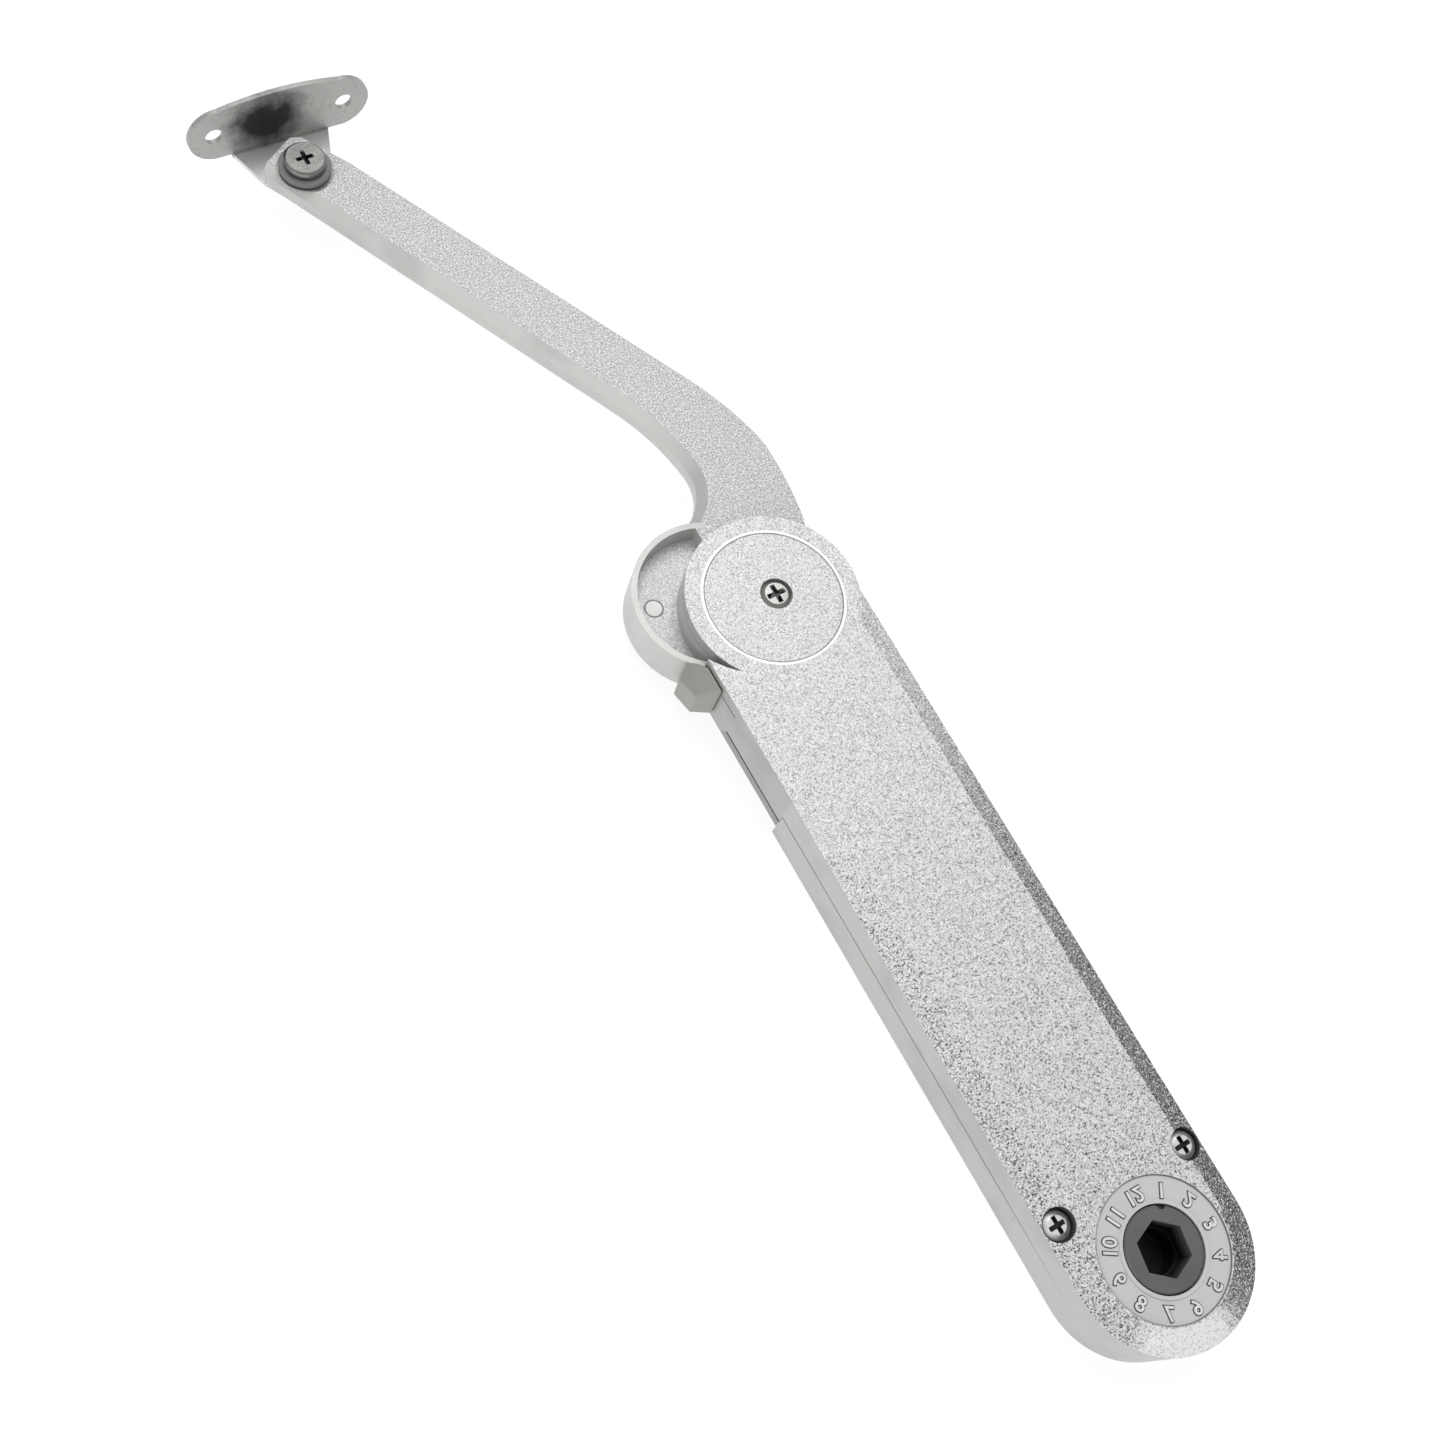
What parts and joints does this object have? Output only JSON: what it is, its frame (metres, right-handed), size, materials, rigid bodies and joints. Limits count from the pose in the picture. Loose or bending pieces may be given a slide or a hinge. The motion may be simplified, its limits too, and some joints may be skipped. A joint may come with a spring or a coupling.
{
  "type": "door closer",
  "caption": "Cabinet flap closer arm: slim sprung case with a numbered force adjuster, a cranked swing arm and a swivelling screw-on bracket.",
  "frame": {"origin": "on the arm's pivot axis, in the plane of the case's flat back face", "axes": "+Z from the back face out through the front cover; +Y from the adjuster end to the pivot end along the case; +X to the right seen from the front"},
  "size_m": [0.0865, 0.333, 0.0246],
  "materials": {
    "cast_grey": "smooth satin silver-grey paint on a zinc casting",
    "cast_textured": "fine textured silver-grey powder coat on a zinc casting",
    "arm_grey": "fine textured silver-grey powder coat on the flat face, smooth on the edges",
    "stop_grey": "darker satin grey paint",
    "adjuster_grey": "mid grey satin",
    "flange_steel": "dull zinc-plated pressed steel",
    "bright_screw": "polished nickel plate",
    "bright_pin": "ground bright pin head",
    "hard_steel": "ground hardened steel, oiled",
    "spring_steel": "drawn spring wire, oiled",
    "tube_steel": "drawn steel tube",
    "bearing": "sintered bronze, oiled",
    "plastic_dark": "black acetal",
    "washer_grey": "grey nylon"
  },
  "bodies": {
    "case": {"back_shell": "cast_grey", "front_cover": "cast_textured", "stop_block": "stop_grey", "pivot_shaft": "hard_steel", "back_washer": "plastic_dark", "front_washer": "plastic_dark", "cap_disc": "cast_textured", "cap_screw": "bright_screw", "body_screws": "bright_screw", "damper_cylinder": "tube_steel", "springs": "spring_steel"},
    "arm": {"arm": "arm_grey", "cam_plate": "hard_steel", "cam_pin": "bright_pin", "pivot_bush": "bearing", "bracket_bush": "bright_screw"},
    "bracket": {"bracket": "flange_steel", "bracket_washer": "washer_grey", "bracket_screw": "bright_screw", "bracket_nut": "bright_screw"},
    "slider": {"slider": "cast_grey", "roller_pin": "hard_steel", "damper_rod": "hard_steel"},
    "roller": {"roller": "hard_steel"},
    "adjuster": {"adjuster": "adjuster_grey", "snail_cam": "hard_steel"},
    "spring_seat": {"spring_seat": "cast_grey", "spring_guides": "tube_steel"}
  },
  "joints": [
    {"name": "arm_swing", "type": "hinge", "parent": "case", "child": "arm", "pos_m": [0, 0, 0], "axis": [0, 0, 1], "range_deg": [-100, 0]},
    {"name": "slider_travel", "type": "slide", "parent": "case", "child": "slider", "axis": [0, -1, 0], "range_m": [0, 0.0081], "deforming": ["springs"]},
    {"name": "roller_spin", "type": "hinge", "parent": "slider", "child": "roller", "pos_m": [0, -0.016, 0.005], "axis": [0, 0, 1], "range_deg": [-10, 410]},
    {"name": "adjuster_turn", "type": "hinge", "parent": "case", "child": "adjuster", "pos_m": [-0.001, -0.1555, 0], "axis": [0, 0, 1], "range_deg": [-332, 1]},
    {"name": "preload_slide", "type": "slide", "parent": "case", "child": "spring_seat", "axis": [0, 1, 0], "range_m": [0, 0.005], "deforming": ["springs"]},
    {"name": "bracket_swivel", "type": "hinge", "parent": "arm", "child": "bracket", "pos_m": [-0.0442, 0.1423, 0], "axis": [0, 0, 1], "range_deg": [-65, 120]}
  ],
  "couplings": [
    {"joint": "slider_travel", "follows": "arm_swing", "m_per_rad": -0.0045837},
    {"joint": "roller_spin", "follows": "arm_swing", "ratio": -4},
    {"joint": "adjuster_turn", "follows": "preload_slide", "rad_per_m": -1151.9}
  ]
}
